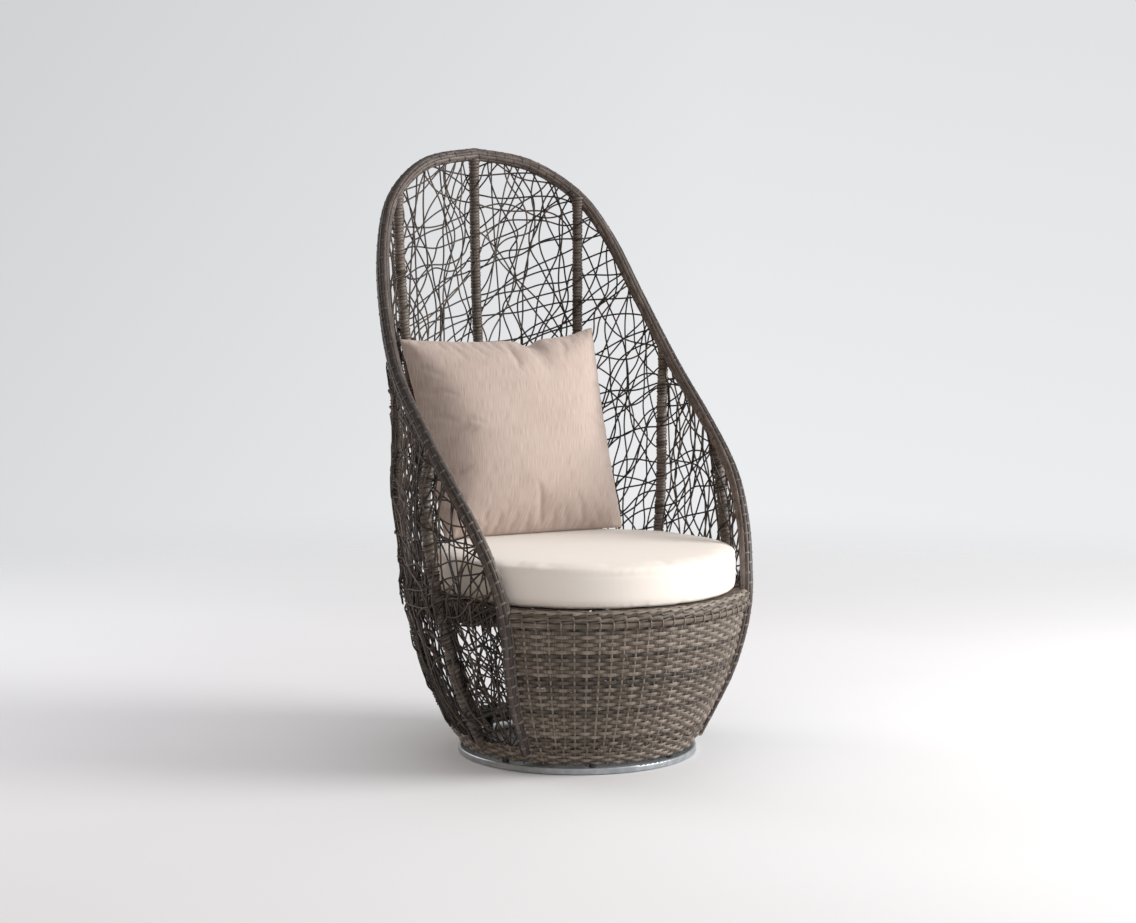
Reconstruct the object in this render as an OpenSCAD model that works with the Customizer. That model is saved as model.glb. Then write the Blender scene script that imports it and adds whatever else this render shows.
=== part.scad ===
// Egg-shaped garden chair: an open random-weave basket on an aluminium frame, with a
// close-woven front, which turns on a low ball race above a round metal floor plate.
// Millimetres. The origin is on the swivel axis at floor level, +Z up, and the open
// front faces -Y. Azimuths are in degrees from the front, positive towards +X.

/* [Egg shell] */
// Height of the widest part of the belly
belly_z = 450; // [400:5:500]
// Radius of the frame's centreline at the belly
belly_r = 398; // [360:1:430]
// Radius of the arc that draws the belly in towards the floor
belly_arc = 752; // [700:1:900]
// Height of the rim's crown, to the tube's centreline
crown_z = 1405; // [1330:5:1460]

/* [Frame] */
// Outside diameter of the bound rim
rim_d = 31; // [24:1:36]
// Outside diameter of a bound rib
rib_d = 23; // [16:1:28]
// Azimuth of the rim's two feet
foot_az = 53.5; // [50:0.5:58]
// Diameter of the ring tube at the foot of the basket
bottom_ring_d = 20; // [14:1:26]
// Height of the centreline of that ring
bottom_ring_z = 46; // [40:1:60]
// Diameter of the ring tube under the seat
seat_ring_d = 20; // [14:1:26]

/* [Seat] */
// Height of the seat deck's upper face
deck_top = 389; // [370:1:400]
// Width of a deck strap
strap_w = 30; // [20:1:35]
// Distance between the middles of two deck straps
strap_pitch = 45; // [40:1:60]
// Diameter of the seat cushion
cushion_d = 700; // [640:2:704]
// Thickness of the seat cushion at its edge
cushion_t = 88; // [60:1:90]
// Rise of the cushion's crown above its edge
cushion_crown = 7; // [0:1:12]
// Side of the square back pillow
pillow_side = 500; // [420:5:510]
// Full thickness of the back pillow at its middle
pillow_t = 150; // [90:5:170]
// Lean of the back pillow from upright
pillow_lean = 22; // [15:1:28]

/* [Random weave] */
// Diameter of a cane strand
strand_d = 4; // [3:0.2:5]
// Sides of a strand, which is cut from flat-faced cane
strand_sides = 6; // [4:1:8]
// Distance between strands up a rib
strand_step = 52; // [40:1:90]

/* [Close weave] */
// Height of one woven row
row_h = 7; // [6:0.5:10]
// Thickness of the woven wall between its stakes
weave_t = 6; // [5:0.5:8]
// Diameter of the border roll on the front wall
border_d = 24; // [18:1:28]
// Number of upright stakes in the front wall
stake_count = 25; // [15:1:31]

/* [Swivel base] */
// Diameter of the floor plate
disc_d = 560; // [520:5:640]
// Height of the floor plate's upper face
disc_top = 16; // [12:1:24]
// Thickness of the floor plate's sheet
disc_t = 6; // [4:0.5:10]
// Diameter of the ball race's plates
race_d = 240; // [180:5:280]
// Diameter of the circle that the balls run on
ball_circle_d = 200; // [150:5:240]
// Diameter of a ball
ball_d = 7; // [5:0.5:8]
// Number of balls
ball_count = 24; // [12:1:30]
// Number of low-friction glides under the basket
glide_count = 8; // [6:1:12]

/* [Hidden] */

// Colours
cane = [0.36, 0.31, 0.27];
strand_brown = [0.22, 0.18, 0.15];
metal_grey = [0.62, 0.64, 0.66];
steel = [0.72, 0.72, 0.74];
black = [0.1, 0.1, 0.1];
cream = [0.93, 0.9, 0.85];
linen = [0.78, 0.66, 0.58];

// Swivel: heights of the race's two sheets and of its balls, the pin, bolts and spider
race_low = [disc_top, disc_top + 2.5];
ball_z = disc_top + 7.5;
race_high = [disc_top + 12.5, disc_top + 15];
race_bolt_r = 85;
bolt_r = 3;
pin_r = 5;
spider_z = [race_high[1] + 5, race_high[1] + 25];
spider_az = [-60, 60, 180];
hub_top = spider_z[1] + 2;

// Heights that follow from the driving sizes
bottom_weave_z = [22, 62];
front_weave_z = [62, 357];
border_z = 366;
seat_ring_z = 375;
seat_weave_z = [346, 389];
strap_t = 2;
bar_d = 18;
cushion_z = deck_top + 0.6;
cushion_y = -40;
web_low_z = [66, 340];
web_foot_z = 396;

// Azimuths of the ribs at each bay's edges, from the rim's foot to the back
bay_az = [foot_az, 90, 120, 150, 180];
// How far the foot of the side ribs is swept forward, and where that sweep ends
side_sweep = 11;
side_sweep_top = 660;

// The shell above the belly: height, radius and how far back the circle's centre lies
stations = [
    [450, belly_r, 8],
    [600, belly_r + 2, 38],
    [750, belly_r - 13, 78],
    [900, belly_r - 14, 108],
    [1050, belly_r + 4, 104],
    [1200, belly_r + 26, 88],
    [1420, belly_r + 34, 84]];

// Right half of the rim's centreline, from its foot to its crown
rim_stations = [
    [225, -167, 46],
    [286, -211, 200],
    [313, -236, 340],
    [331, -213, 450],
    [353, -163, 550],
    [374, -83, 650],
    [381, 40, 762],
    [378, 180, 888],
    [351, 300, 1050],
    [311, 384, 1200],
    [251, 442, 1305],
    [142, 493, 1380],
    [0, 514, crown_z]];

function unit(v) = v / norm(v);
function mix(a, b, t) = a + (b - a) * t;

// Smooth curve through a list of stations: t runs from 0 to the last index
function at(list, i) = list[max(0, min(len(list) - 1, i))];
function spline(list, t) =
    let (i = min(floor(t), len(list) - 2), s = t - i,
        a = at(list, i - 1), b = at(list, i), c = at(list, i + 1), d = at(list, i + 2))
    b + 0.5 * s * (c - a + s * (2 * a - 5 * b + 4 * c - d + s * (3 * (b - c) + d - a)));
function station_index(z) = lookup(z, [for (i = [0:len(stations) - 1]) [stations[i].x, i]]);

// Radius and centre of the shell's round cross-section at a height
function belly_radius(z) = belly_r - belly_arc + sqrt(belly_arc ^ 2 - (belly_z - z) ^ 2);
function shell_r(z) = z < belly_z ? belly_radius(z) : spline(stations, station_index(z))[1];
function shell_y(z) =
    z < 350 ? 0
    : z < 450 ? stations[0][2] * ((z - 350) / 100) ^ 2
    : spline(stations, station_index(z))[2];

// Distance from the swivel axis to the shell along an azimuth, and the point there
function reach(az, z) =
    let (c = shell_y(z))
    -c * cos(az) + sqrt(shell_r(z) ^ 2 - (c * sin(az)) ^ 2);
function on_shell(az, z, out = 0) =
    let (r = reach(az, z) + out)
    [r * sin(az), -r * cos(az), z];
function azimuth(p) = atan2(p.x, -p.y);

// The rim's path, and its azimuth by height and height by azimuth on the right half
rim_half_steps = 34;
rim_half = [for (i = [0:rim_half_steps]) spline(rim_stations, i / rim_half_steps * 12)];
rim_path = concat(
    [for (p = rim_half) [-p.x, p.y, p.z]],
    [for (i = [1:rim_half_steps]) rim_half[rim_half_steps - i]]);
rim_az_by_z = [for (p = rim_half) if (p.z > 330) [p.z, azimuth(p)]];
rim_z_by_az = [for (p = rim_half) if (p.z > 330) [azimuth(p), p.z]];
function rim_az(z) = lookup(z, rim_az_by_z);
function rim_z(az) = lookup(az, rim_z_by_az);

// A rib stands in a vertical plane, but the side ribs' feet are swept forward
function eased(t) = let (s = max(0, min(1, t))) s * s * (3 - 2 * s);
function rib_az(bay, z) =
    bay_az[bay] - (bay == 1 ? side_sweep * eased((side_sweep_top - z) / 420) : 0);
function rib_point(bay, z, out = 0) = on_shell(rib_az(bay, z), z, out);

// Round tube along a path. Its rings start from the way that the shell faces.
function ring_normal(p) = unit([p.x, p.y - shell_y(p.z), 0]);
function tangent(path, i) = unit(at(path, i + 1) - at(path, i - 1));
module tube(path, d, sides) {
    last = len(path) - 1;
    points = [
        for (i = [0:last])
            let (t = tangent(path, i), n = ring_normal(path[i]),
                u = unit(n - (n * t) * t), v = cross(t, u))
            for (k = [0:sides - 1])
                path[i] + d / 2 * (u * cos(360 * k / sides) + v * sin(360 * k / sides))];
    walls = [
        for (i = [0:last - 1], k = [0:sides - 1])
            let (a = i * sides + k, b = i * sides + (k + 1) % sides)
            each [[a, a + sides, b], [b, a + sides, b + sides]]];
    first_cap = [for (k = [1:sides - 2]) [0, k, k + 1]];
    end = last * sides;
    last_cap = [for (k = [1:sides - 2]) [end, end + k + 1, end + k]];
    polyhedron(points, concat(walls, first_cap, last_cap));
}

// Straight round rod between two points
module rod(p, q, d, sides = 24) {
    v = q - p;
    translate(p)
        rotate([0, acos(v.z / norm(v)), atan2(v.y, v.x)])
            cylinder(h = norm(v), d = d, $fn = sides);
}

// Turned shape over a span of azimuths, with its profile drawn as [radius, height]
module turned(from_az, to_az) {
    rotate([0, 0, from_az - 90])
        rotate_extrude(angle = to_az - from_az, $fn = 120)
            children();
}

// --- Swivel base ---

// Dished plate with a rolled edge and a boss for the king pin
module base_disc() {
    edge = disc_d / 2;
    rolled = 4;
    color(metal_grey)
        difference() {
            rotate_extrude($fn = 180)
                union() {
                    translate([pin_r + 0.08, disc_top - disc_t])
                        square([edge - rolled - pin_r - 0.08, disc_t]);
                    translate([edge - 2 * rolled, 2])
                        square([2 * rolled, disc_top - rolled - 2]);
                    translate([edge - rolled, disc_top - rolled])
                        circle(r = rolled, $fn = 40);
                }
            race_bolt_places()
                translate([0, 0, -1])
                    cylinder(h = disc_top + 2, r = bolt_r + 0.3, $fn = 30);
        }
}

// Rubber pads: a cup round the king pin's head and six inside the rolled edge
module floor_pads() {
    color(black) {
        difference() {
            cylinder(h = disc_top - disc_t, d = 60, $fn = 48);
            translate([0, 0, 3])
                cylinder(h = disc_top, d = 30, $fn = 48);
        }
        for (i = [0:5])
            rotate([0, 0, 60 * i])
                translate([disc_d / 2 - 28, 0, 0])
                    cylinder(h = disc_top - disc_t, d = 34, $fn = 40);
    }
}

module race_bolt_places() {
    for (i = [0:3])
        rotate([0, 0, 45 + 90 * i])
            translate([race_bolt_r, 0, 0])
                children();
}

// One pressed plate of the ball race: a flat ring with a raised, grooved track
module race_plate(z_sheet, z_track) {
    track_r = ball_circle_d / 2;
    difference() {
        rotate_extrude($fn = 120)
            union() {
                translate([30, min(z_sheet)])
                    square([race_d / 2 - 30, max(z_sheet) - min(z_sheet)]);
                translate([track_r - 7, min(z_track)])
                    square([14, max(z_track) - min(z_track)]);
            }
        rotate_extrude($fn = 120)
            translate([track_r, ball_z])
                circle(d = ball_d + 0.5, $fn = 40);
        race_bolt_places()
            translate([0, 0, min(z_sheet) - 1])
                cylinder(h = 5, r = bolt_r + 0.3, $fn = 30);
    }
}

module race_lower_plate() {
    color(steel) race_plate(race_low, [race_low[0], ball_z - 1.2]);
}

module race_upper_plate() {
    color(steel) race_plate(race_high, [ball_z + 1.2, race_high[1]]);
}

// Thin ring that keeps the balls apart
module race_cage() {
    color(black)
        difference() {
            translate([0, 0, ball_z - 0.8])
                cylinder(h = 1.6, d = ball_circle_d + 18, $fn = 120);
            translate([0, 0, ball_z - 2])
                cylinder(h = 4, d = ball_circle_d - 18, $fn = 120);
            for (i = [0:ball_count - 1])
                rotate([0, 0, 360 / ball_count * i])
                    translate([ball_circle_d / 2, 0, ball_z - 2])
                        cylinder(h = 4, d = ball_d + 0.6, $fn = 30);
        }
}

module race_balls() {
    color(steel)
        for (i = [0:ball_count - 1])
            rotate([0, 0, 360 / ball_count * i])
                translate([ball_circle_d / 2, 0, ball_z])
                    sphere(d = ball_d, $fn = 30);
}

// Low-headed bolt with its shank's end at z0, and a hexagonal nut, on the race's circle
module low_bolt(z0, z1) {
    union() {
        translate([0, 0, z1])
            cylinder(h = 2.2, r = 5.5, $fn = 30);
        translate([0, 0, z0])
            cylinder(h = z1 - z0, r = bolt_r, $fn = 30);
    }
}
module hex_nut() {
    difference() {
        cylinder(h = 4.5, r = 5.8, $fn = 6);
        translate([0, 0, -1])
            cylinder(h = 7, r = bolt_r + 0.05, $fn = 30);
    }
}

// Bolts that hold the lower plate to the disc, with their nuts underneath
module race_bolts() {
    color(steel)
        race_bolt_places()
            low_bolt(disc_top - disc_t - 5, race_low[1]);
}

module race_nuts() {
    color(steel)
        race_bolt_places()
            translate([0, 0, disc_top - disc_t - 4.5])
                hex_nut();
}

// Bolts that hold the upper plate to the spider, heads down, with their nuts on top
module hub_bolts() {
    color(steel)
        race_bolt_places()
            translate([0, 0, race_high[0]])
                mirror([0, 0, 1])
                    low_bolt(race_high[0] - spider_z[0] - 5, 0);
}

module hub_nuts() {
    color(steel)
        race_bolt_places()
            translate([0, 0, spider_z[0]])
                hex_nut();
}

// Headed pin on the axis: it hangs from the spider's hub and turns in the disc's bore
module king_pin() {
    color(steel)
        union() {
            translate([0, 0, disc_top - disc_t - 5])
                cylinder(h = 4.4, r = 10, $fn = 6);
            translate([0, 0, disc_top - disc_t - 1])
                cylinder(h = hub_top - disc_top + disc_t + 1, r = pin_r, $fn = 30);
            translate([0, 0, hub_top])
                cylinder(h = 6, r = 10, $fn = 40);
        }
}

// --- Basket frame ---

// Three box-tube arms on a hub plate, which join the ball race to the bottom ring
module spider_frame() {
    arm_w = 25;
    ring_r = belly_radius(bottom_ring_z) - 8;
    color(black)
        difference() {
            union() {
                translate([0, 0, race_high[1]])
                    cylinder(h = spider_z[0] - race_high[1], d = race_d, $fn = 120);
                translate([0, 0, spider_z[0]])
                    cylinder(h = hub_top - spider_z[0], d = 60, $fn = 60);
                for (az = spider_az)
                    rotate([0, 0, az - 90])
                        translate([20, -arm_w / 2, spider_z[0]])
                            cube([ring_r - 20, arm_w, spider_z[1] - spider_z[0]]);
            }
            translate([0, 0, race_low[0]])
                cylinder(h = 2 * hub_top, r = pin_r, $fn = 30);
            race_bolt_places()
                translate([0, 0, race_low[0]])
                    cylinder(h = 2 * hub_top, r = bolt_r + 0.3, $fn = 30);
        }
}

module bottom_ring() {
    color(black)
        rotate_extrude($fn = 180)
            translate([belly_radius(bottom_ring_z) - 8, bottom_ring_z])
                circle(d = bottom_ring_d, $fn = 40);
}

// Outline of a close-woven wall: rows of flat cane that swell between the stakes
function row_swell(z, z0) = 0.9 * abs(sin(180 * (z - z0) / row_h));
module woven_section(z0, z1, inner, outer) {
    steps = round((z1 - z0) / row_h * 4);
    face = [for (i = [0:steps])
        let (z = mix(z0, z1, i / steps))
        [belly_radius(z) + outer + row_swell(z, z0), z]];
    back = [for (i = [0:8])
        let (z = mix(z1, z0, i / 8))
        [belly_radius(z) + inner, z]];
    polygon(concat(face, back));
}

// Woven skirt all round the foot of the basket
module bottom_weave() {
    color(cane)
        rotate_extrude($fn = 180)
            woven_section(bottom_weave_z[0], bottom_weave_z[1], 2.2, 2.2 + weave_t);
}

// Black nylon glides that keep the skirt off the floor plate
module skirt_glides() {
    color(black)
        for (i = [0:glide_count - 1])
            rotate([0, 0, 360 / glide_count * (i + 0.5)])
                translate([belly_radius(bottom_ring_z) - 14, 0, disc_top + 0.6])
                    cylinder(h = bottom_ring_z - bottom_ring_d / 2 - disc_top + 2, d = 16, $fn = 30);
}

module seat_ring() {
    color(black)
        rotate_extrude($fn = 180)
            translate([shell_r(seat_ring_z) - 15, seat_ring_z])
                circle(d = seat_ring_d, $fn = 40);
}

// Woven band bound round the seat ring, open at the front where the wall is
module seat_ring_weave() {
    r = shell_r(seat_ring_z);
    rows = round((seat_weave_z[1] - seat_weave_z[0]) / row_h * 4);
    color(cane)
        turned(foot_az + 3, 360 - foot_az - 3)
            polygon(concat(
                [for (i = [0:rows])
                    let (z = mix(seat_weave_z[0], seat_weave_z[1], i / rows))
                    [r - 4 + row_swell(z, seat_weave_z[0]), z]],
                [[r - 14.5, seat_weave_z[1]], [r - 14.5, seat_weave_z[1] - 4],
                    [r - 8, seat_weave_z[1] - 4], [r - 8, seat_weave_z[0]]]));
}

module seat_bars() {
    z = deck_top - 2 * strap_t - bar_d / 2;
    color(black)
        for (x = [-190, 0, 190]) {
            half = sqrt((shell_r(seat_ring_z) - 15) ^ 2 - x ^ 2) - 2;
            rod([x, -half, z], [x, half, z], bar_d);
        }
}

// Deck of flat straps, one layer each way, cut to the ring
module seat_straps() {
    r = shell_r(seat_ring_z) - 15;
    reach_count = floor(r / strap_pitch);
    color(cane)
        intersection() {
            union()
                for (i = [-reach_count:reach_count]) {
                    translate([i * strap_pitch - strap_w / 2, -r, deck_top - 2 * strap_t])
                        cube([strap_w, 2 * r, strap_t]);
                    translate([-r, i * strap_pitch - strap_w / 2, deck_top - strap_t])
                        cube([2 * r, strap_w, strap_t]);
                }
            translate([0, 0, deck_top - 10])
                cylinder(h = 20, r = r, $fn = 180);
        }
}

// Upright stakes that the front wall is woven round: arcs of the belly
module front_stakes() {
    span = foot_az - 5;
    low = asin((belly_z - front_weave_z[0] + 8) / belly_arc);
    high = asin((belly_z - border_z) / belly_arc);
    color(black)
        for (i = [0:stake_count - 1])
            rotate([0, 0, mix(-span, span, i / (stake_count - 1)) - 90])
                translate([belly_r - belly_arc, 0, belly_z])
                    rotate([90, 0, 0])
                        rotate([0, 0, -low])
                            rotate_extrude(angle = low - high, $fn = 360)
                                translate([belly_arc, 0])
                                    circle(d = 4, $fn = 16);
}

module front_weave() {
    color(cane)
        turned(-foot_az + 1.9, foot_az - 1.9)
            woven_section(front_weave_z[0], front_weave_z[1], -2, -2 + weave_t);
}

// Rolled border bound round the top of the front wall
module front_border() {
    color(cane)
        turned(-foot_az + 1.9, foot_az - 1.9)
            translate([shell_r(border_z) + 1, border_z])
                circle(d = border_d, $fn = 40);
}

module rim() {
    color(cane) tube(rim_path, rim_d, 12);
}

// A rib runs from the bottom ring up into the rim
module rib(bay) {
    top = rim_z(bay_az[bay]) - 2;
    steps = ceil((top - bottom_ring_z) / 38);
    path = [for (i = [0:steps]) rib_point(bay, mix(bottom_ring_z, top, i / steps))];
    color(cane) tube(path, rib_d, 10);
}

// --- Random weave ---

// Edge of a bay towards the rim: the rib, or above it the rim itself
function near_edge(bay, z, out) =
    let (az = max(rim_az(z), rib_az(bay, z)))
    on_shell(bay == 0 || az > rib_az(bay, z) ? rim_az(z) : az, z, out);

// One layer of strands across a bay. Each leans by rise, and the layers lie apart.
module strand_layer(bay, z0, z1, rise, out, step, seed) {
    count = floor((z1 - z0 - abs(rise)) / step);
    shake = rands(-0.32, 0.32, 2 * max(1, count + 1), seed);
    for (i = [0:count]) {
        a = z0 + max(0, -rise) + (i + 0.5 + shake[2 * i]) * step;
        b = a + rise * (1 + shake[2 * i + 1]);
        if (a < z1 && b < z1 && b > z0)
            rod(near_edge(bay, a, out), rib_point(bay + 1, b, out),
                strand_d, strand_sides);
    }
}

// Open web above the seat in one bay, up to the rim
module web_right(bay) {
    top = rim_z(bay_az[bay + 1]) - 26;
    color(strand_brown)
        union() {
            strand_layer(bay, web_foot_z, top, 70, 1.2, strand_step, 10 + bay);
            strand_layer(bay, web_foot_z, top, -70, -1.2, strand_step, 20 + bay);
            strand_layer(bay, web_foot_z, top, 190, 0, 1.9 * strand_step, 30 + bay);
            strand_layer(bay, web_foot_z, top, -190, 0, 1.9 * strand_step, 40 + bay);
        }
}

// Open web below the seat in one bay
module web_low_right(bay) {
    color(strand_brown)
        union() {
            strand_layer(bay, web_low_z[0], web_low_z[1], 80, 1.2, strand_step, 50 + bay);
            strand_layer(bay, web_low_z[0], web_low_z[1], -80, -1.2, strand_step, 60 + bay);
            strand_layer(bay, web_low_z[0], web_low_z[1], 180, 0, strand_step, 70 + bay);
            strand_layer(bay, web_low_z[0], web_low_z[1], -180, 0, strand_step, 80 + bay);
        }
}

// --- Soft parts ---

// Round box cushion: drawn-in seams, sides that swell between them, and a crown
module seat_cushion() {
    r = cushion_d / 2;
    seam = 9;
    side = [for (i = [0:10]) [r - 5 + 5 * sin(18 * i), mix(seam, cushion_t - seam, i / 10)]];
    top = [for (i = [0:12])
        let (s = 1 - i / 12)
        [(r - 12) * s, cushion_t + cushion_crown * (1 - s ^ 4)]];
    color(cream)
        translate([0, cushion_y, cushion_z])
            rotate_extrude($fn = 120)
                polygon(concat([[0, 0], [r - 14, 0], [r - 7, 3]], side,
                    [[r - 7, cushion_t - 3]], top));
}

// Knife-edge pillow: two crowned faces that meet in one seam, with its sides drawn in
module back_pillow() {
    n = 15;
    half = pillow_side / 2;
    function grid(i) = sin(90 * (2 * i / n - 1));
    function inset(s) = 1 - 0.07 * (1 - s ^ 4);
    function fill(a, b) = pillow_t / 2 * sqrt(max(0, (1 - a ^ 2) * (1 - b ^ 2))) ^ 0.8;
    function face_point(i, j, side) =
        let (a = grid(i), b = grid(j))
        [half * a * inset(b), side * fill(a, b), half + half * b * inset(a)];
    points = [
        for (side = [-1, 1], i = [0:n], j = [0:n]) face_point(i, j, side)];
    edge = (n + 1) ^ 2;
    function id(i, j, back) =
        (back && i > 0 && i < n && j > 0 && j < n ? edge : 0) + i * (n + 1) + j;
    // Each cell is cut on the diagonal that leads from the pillow's nearest corner inwards
    function cut(a, b, c, d, near) = near ? [[a, b, c], [a, c, d]] : [[a, b, d], [b, c, d]];
    faces = [
        for (i = [0:n - 1], j = [0:n - 1], back = [false, true])
            let (near = (i < n / 2) == (j < n / 2),
                cell = cut(id(i, j, back), id(i + 1, j, back),
                    id(i + 1, j + 1, back), id(i, j + 1, back), near))
            each [for (f = cell) back ? f : [f[0], f[2], f[1]]]];
    color(linen)
        translate([0, 172, cushion_z + cushion_t + cushion_crown + 2.5])
            rotate([0, 0, -4])
                rotate([-pillow_lean, 0, 0])
                    polyhedron(points, faces);
}

base_disc();
floor_pads();
race_lower_plate();
race_cage();
race_balls();
race_upper_plate();
race_bolts();
race_nuts();
hub_bolts();
hub_nuts();
king_pin();
spider_frame();
bottom_ring();
bottom_weave();
skirt_glides();
seat_ring();
seat_ring_weave();
seat_bars();
seat_straps();
front_stakes();
front_weave();
front_border();
rim();
rib(4);  // rib_back
for (i = [1:3]) {
    rib(i);
    mirror([1, 0, 0]) rib(i);
}
for (i = [1:4]) {
    web_right(i - 1);
    mirror([1, 0, 0]) web_right(i - 1);
    web_low_right(i - 1);
    mirror([1, 0, 0]) web_low_right(i - 1);
}
seat_cushion();
back_pillow();
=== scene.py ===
# %% [markdown]
# # Free-standing egg chair
# The chair is an egg-shaped basket of plastic cane on an aluminium frame. It stands on a round metal
# plate, with a thick seat cushion and one loose back pillow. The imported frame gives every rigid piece
# its place and size. This script gives each of them its finish, and winds, weaves and sews the pieces
# whose look is in their strands and cloth.

# %% Load the frame
import math

import bpy
import numpy as np
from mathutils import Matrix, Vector


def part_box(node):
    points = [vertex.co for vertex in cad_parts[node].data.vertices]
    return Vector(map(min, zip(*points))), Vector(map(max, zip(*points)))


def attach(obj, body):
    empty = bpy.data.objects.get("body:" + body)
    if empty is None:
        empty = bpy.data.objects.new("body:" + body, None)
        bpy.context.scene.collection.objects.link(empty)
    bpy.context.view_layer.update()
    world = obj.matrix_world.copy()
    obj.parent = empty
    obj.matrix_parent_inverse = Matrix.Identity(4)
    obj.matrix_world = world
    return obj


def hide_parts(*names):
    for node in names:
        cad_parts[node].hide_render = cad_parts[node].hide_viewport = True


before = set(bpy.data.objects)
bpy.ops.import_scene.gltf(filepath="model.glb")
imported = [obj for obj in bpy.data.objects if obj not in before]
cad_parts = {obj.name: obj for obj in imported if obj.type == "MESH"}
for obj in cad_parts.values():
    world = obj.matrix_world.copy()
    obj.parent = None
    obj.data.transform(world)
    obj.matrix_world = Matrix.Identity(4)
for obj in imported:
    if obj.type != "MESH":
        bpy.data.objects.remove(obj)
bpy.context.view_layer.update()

# %% [markdown]
# ## Camera
# The camera stands in front of the chair and to its left, above the seat, and looks slightly down.
# A long lens keeps the egg's outline nearly free of perspective.

# %% Camera
CAMERA_PLACE = (-2.700, -4.6765, 1.200)
CAMERA_AZIMUTH = math.radians(29.77)
CAMERA_PITCH = math.radians(5.51)
camera_data = bpy.data.cameras.new("camera")
camera_data.lens = 73.8
camera_data.sensor_width = 36.0
camera = bpy.data.objects.new("camera", camera_data)
camera.location = CAMERA_PLACE
camera.rotation_euler = (math.pi / 2 - CAMERA_PITCH, 0.0, -CAMERA_AZIMUTH)
bpy.context.scene.collection.objects.link(camera)
bpy.context.scene.camera = camera
print("camera at", CAMERA_PLACE, "with a lens of", camera_data.lens, "mm")

# %% [markdown]
# ## The egg's shell
# All cane lies on one shell, so its shape is needed as a formula: a round cross-section whose radius
# and centre change with height. Below the belly it is an arc, and above it a smooth curve through a
# few stations. These are the frame's own sizes, in metres. An azimuth is in degrees from the open
# front (-Y), positive towards +X, and "out" is a distance outwards from the shell.

# %% Shell
BELLY_Z, BELLY_R, BELLY_ARC = 0.450, 0.398, 0.752
STATION_Z = [0.450, 0.600, 0.750, 0.900, 1.050, 1.200, 1.420]
STATION_R = [0.398, 0.400, 0.385, 0.384, 0.402, 0.424, 0.432]
STATION_Y = [0.008, 0.038, 0.078, 0.108, 0.104, 0.088, 0.084]


def catmull(values, t):
    """Smooth curve through numbered stations, with its two ends held."""
    values = np.asarray(values, float)
    last = len(values) - 1
    t = np.asarray(t, float)
    i = np.clip(np.floor(t).astype(int), 0, last - 1)
    s = (t - i).reshape(t.shape + (1,) * (values.ndim - 1))
    a, b, c, d = (values[np.clip(i + k, 0, last)] for k in (-1, 0, 1, 2))
    return b + 0.5 * s * (c - a + s * (2 * a - 5 * b + 4 * c - d + s * (3 * (b - c) + d - a)))


def shell_radius(z):
    z = np.asarray(z, float)
    belly = BELLY_R - BELLY_ARC + np.sqrt(BELLY_ARC**2 - np.clip(BELLY_Z - z, 0.0, 0.7) ** 2)
    index = np.interp(z, STATION_Z, np.arange(len(STATION_Z)))
    return np.where(z < BELLY_Z, belly, catmull(STATION_R, index))


def shell_centre(z):
    z = np.asarray(z, float)
    index = np.interp(z, STATION_Z, np.arange(len(STATION_Z)))
    low = STATION_Y[0] * np.clip((z - 0.350) / 0.100, 0, 1) ** 2
    return np.where(z < BELLY_Z, low, catmull(STATION_Y, index))


print("shell's radius at 0.2, 0.45 and 1.2 m:", shell_radius([0.2, 0.45, 1.2]).round(4))

# %% Points on the shell and directions away from it
def polar(azimuth, radius, z):
    """Points at an azimuth, at a distance from the swivel axis and at a height."""
    angle, radius, z = np.broadcast_arrays(np.radians(azimuth), radius, z)
    return np.stack([radius * np.sin(angle), -radius * np.cos(angle), z], axis=-1)


def reach(azimuth, z):
    """Distance from the swivel axis to the shell."""
    angle = np.radians(azimuth)
    c = shell_centre(z)
    return -c * np.cos(angle) + np.sqrt(shell_radius(z) ** 2 - (c * np.sin(angle)) ** 2)


def on_shell(azimuth, z, out=0.0):
    return polar(azimuth, reach(azimuth, z) + out, z)


def unit(vectors):
    """The same directions, each with a length of 1."""
    return vectors / np.linalg.norm(vectors, axis=-1, keepdims=True)


def outward(points):
    """Level direction away from the shell's centre, at each point."""
    away = points.copy()
    away[:, 1] -= shell_centre(points[:, 2])
    away[:, 2] = 0.0
    return unit(away)


print("the shell's back at 1.2 m:", on_shell(180.0, 1.2).round(4))

# %% Paths
def eased(t):
    t = np.clip(t, 0.0, 1.0)
    return t * t * (3 - 2 * t)


def distance_along(path):
    """Each point's distance from the path's start."""
    return np.concatenate([[0.0], np.cumsum(np.linalg.norm(np.diff(path, axis=0), axis=1))])


def between(x, places, vectors):
    """Vectors at the places x, interpolated between vectors that stand at rising places."""
    return np.stack([np.interp(x, places, vectors[:, k]) for k in range(3)], axis=1)


def resample(points, step):
    """The same path with points at an even distance of about step."""
    length = distance_along(points)
    count = max(2, round(length[-1] / step) + 1)
    return between(np.linspace(0.0, length[-1], count), length, points)


print("0.3 m in steps of 0.1 m:", resample(np.array([(0, 0, 0), (0, 0, 0.3)]), 0.1)[:, 2].round(3))

# %% Rim and ribs: the paths that the frame's tubes follow
RIM_STATIONS = np.array([
    (225, -167, 46), (286, -211, 200), (313, -236, 340), (331, -213, 450), (353, -163, 550),
    (374, -83, 650), (381, 40, 762), (378, 180, 888), (351, 300, 1050), (311, 384, 1200),
    (251, 442, 1305), (142, 493, 1380), (0, 514, 1405)]) * 0.001
RIB_R = 0.0115
FOOT_Z = 0.046
# Azimuths of the rim's foot, of the three ribs on a side and of the back rib
BAY_AZ = [53.5, 90.0, 120.0, 150.0, 180.0]
RIB_STEP = 0.002

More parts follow.
